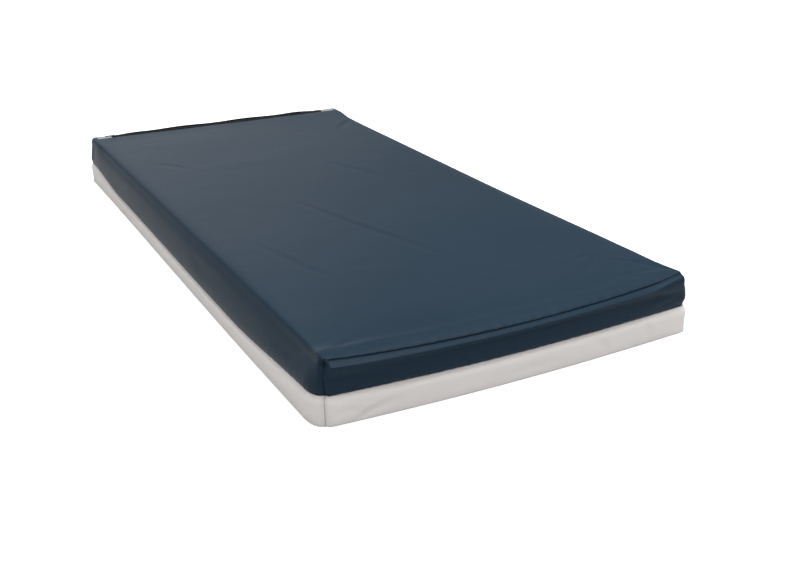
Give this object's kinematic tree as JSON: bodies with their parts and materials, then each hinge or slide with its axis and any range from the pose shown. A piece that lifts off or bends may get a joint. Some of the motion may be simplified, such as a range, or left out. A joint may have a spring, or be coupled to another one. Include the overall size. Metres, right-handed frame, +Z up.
{
  "type": "pressure relief mattress",
  "caption": "Flat rectangular hospital mattress with a navy top and light grey base, a zip along the head end, a fire barrier sock and a zoned castellated foam core.",
  "frame": {"origin": "middle of the flat underside", "axes": "+Z up; +Y towards the head end, where the zip is; -Y towards the foot end; +X on the right of someone at the foot end"},
  "size_m": [0.914, 2.032, 0.1581],
  "materials": {
    "cover_navy": "coated nylon, satin",
    "cover_grey": "coated nylon, matt",
    "patch_grey": "coated nylon, matt",
    "zip_black": "woven polyester tape",
    "slider_black": "black lacquer",
    "binding_navy": "folded coated nylon",
    "label_white": "blank satin ribbon",
    "sock_white": "knitted",
    "elastic_white": "woven elastic",
    "foam_base": "open-cell foam",
    "foam_bolster": "open-cell foam",
    "foam_zone": "open-cell foam",
    "foam_visco": "slow-recovery foam"
  },
  "bodies": {
    "mattress": {"top_wrap_panel": "cover_navy", "foot_end_panel": "cover_navy", "head_end_panel": "cover_navy", "base_wrap_panel": "cover_grey", "base_foot_panel": "cover_grey", "base_head_panel": "cover_grey", "foot_seam_welt": "binding_navy", "waist_seam_binding": "binding_navy", "care_label": "label_white", "zip_tape_top": "zip_black", "zip_tape_head": "zip_black", "zip_coil_top": "zip_black", "zip_coil_head": "zip_black", "zip_stop_left": "slider_black", "zip_stop_right": "slider_black", "zip_end_patch_left": "patch_grey", "zip_end_patch_right": "patch_grey", "fire_barrier_sock": "sock_white", "sock_hem_elastic": "elastic_white", "base_foam_slab": "foam_base", "side_bolster_left": "foam_bolster", "side_bolster_right": "foam_bolster", "zone_foam_head": "foam_zone", "zone_foam_torso": "foam_zone", "zone_foam_pelvis": "foam_zone", "zone_foam_thigh": "foam_zone", "zone_foam_heel": "foam_zone", "visco_topper": "foam_visco"},
    "slider": {"zip_slider": "slider_black"},
    "pull": {"zip_pull": "slider_black"}
  },
  "joints": [
    {"name": "zip_slide", "type": "slide", "parent": "mattress", "child": "slider", "axis": [1, 0, 0], "range_m": [0, 0.7628]},
    {"name": "zip_pull_hinge", "type": "hinge", "parent": "slider", "child": "pull", "pos_m": [-0.3814, 0.99091, 0.1557], "axis": [0, 1, 0], "range_deg": [0, 180]}
  ]
}
